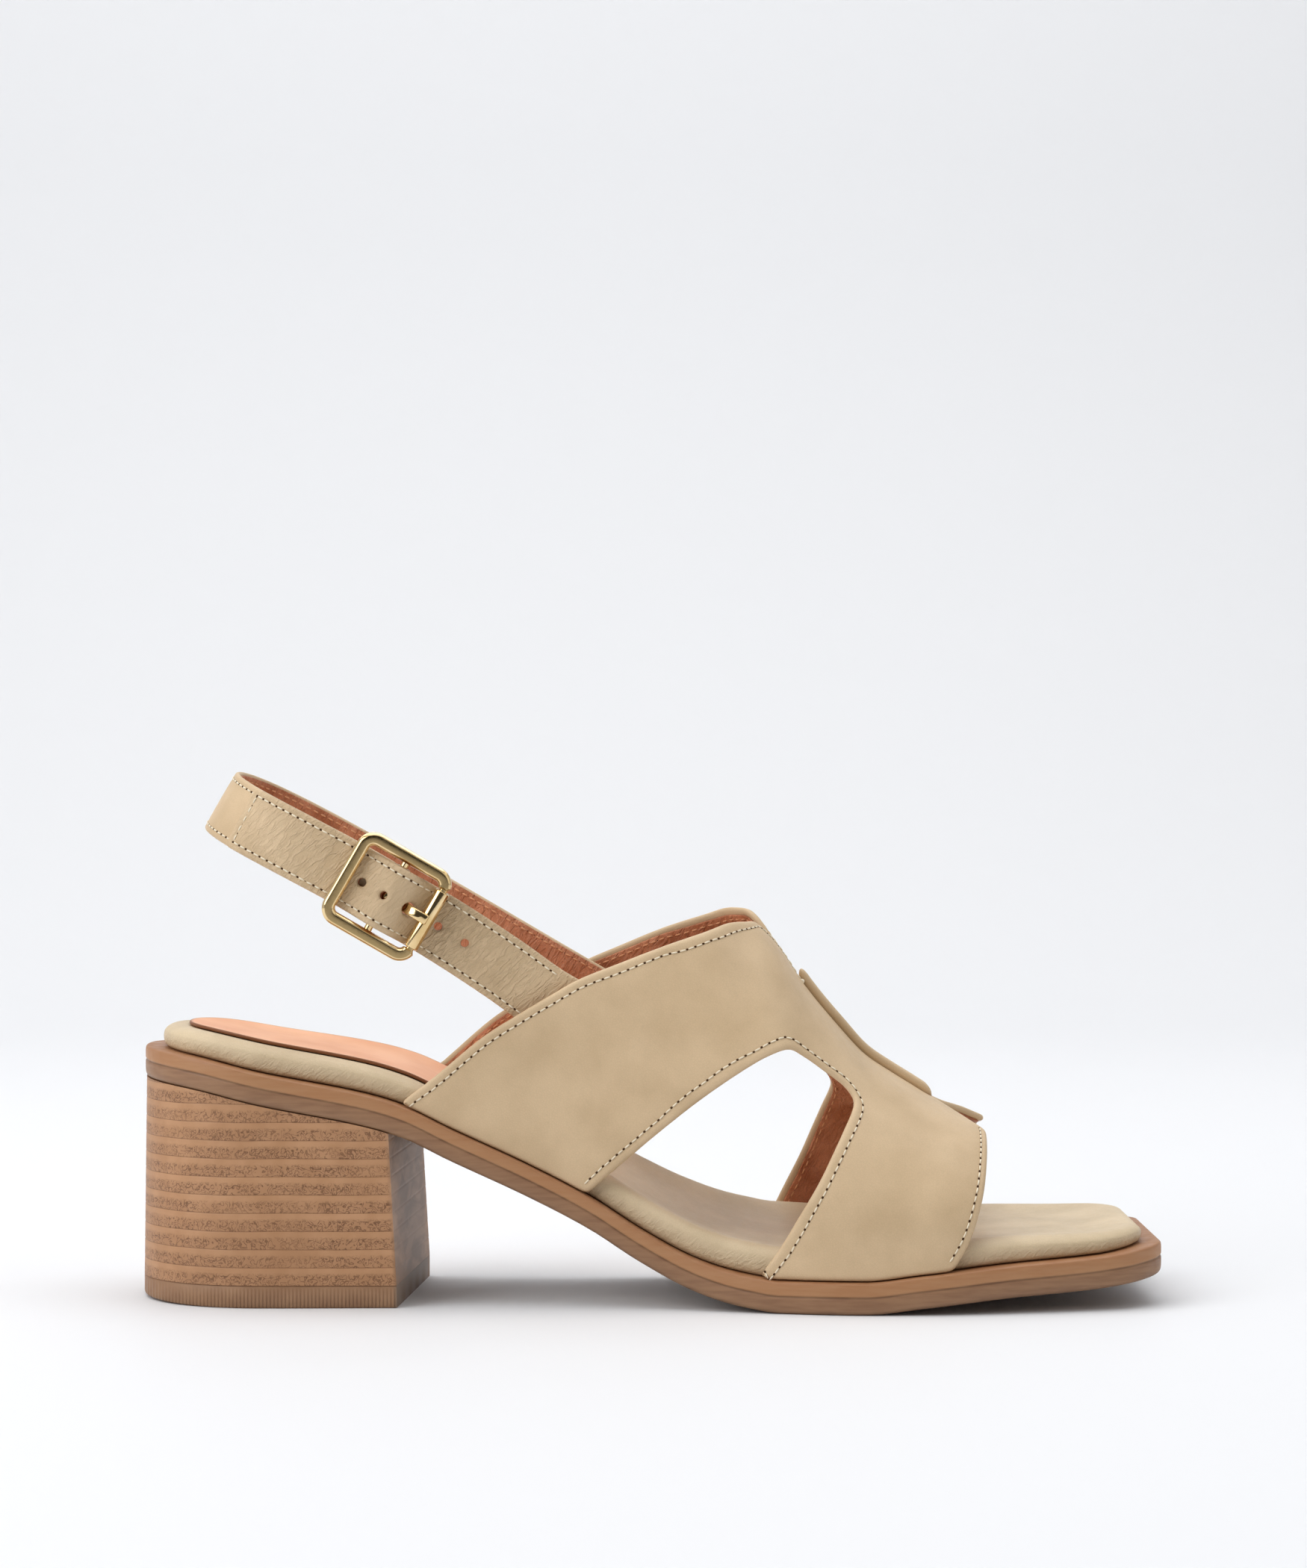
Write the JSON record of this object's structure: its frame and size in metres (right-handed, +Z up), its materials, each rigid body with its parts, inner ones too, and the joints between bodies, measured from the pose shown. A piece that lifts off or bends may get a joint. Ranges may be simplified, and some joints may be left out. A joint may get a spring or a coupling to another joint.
{
  "type": "heeled sandal",
  "caption": "Slingback sandal for the right foot with a block heel, padded footbed, open toe, cut-out sides and a buckled heel strap.",
  "frame": {"origin": "on the floor, under the middle of the sandal's bounding box", "axes": "+X from the heel to the toe, +Y to the inner side of the foot, +Z up"},
  "size_m": [0.248, 0.0878, 0.1284],
  "materials": {
    "outsole": "satin moulded sole, warm brown",
    "heel_stack": "stacked-leather look with thin dark layer lines and a fine worm-like grain",
    "heel_rubber": "matte rubber, brown",
    "beige_leather": "smooth beige leather with a fine grain and a soft sheen",
    "tan_leather": "smooth tan leather",
    "lining_leather": "orange-brown lining leather, fine grain",
    "stitch_thread": "cream thread",
    "gold_metal": "polished light gold"
  },
  "bodies": {
    "root": {"outsole": "outsole", "heel_block": "heel_stack", "heel_top_piece": "heel_rubber", "footbed": "beige_leather", "heel_sock": "tan_leather", "upper": "beige_leather", "sling_strap_front": "beige_leather", "sling_strap_rear": "beige_leather", "buckle_frame": "gold_metal", "buckle_roller": "gold_metal", "buckle_prong": "gold_metal"}
  },
  "joints": []
}
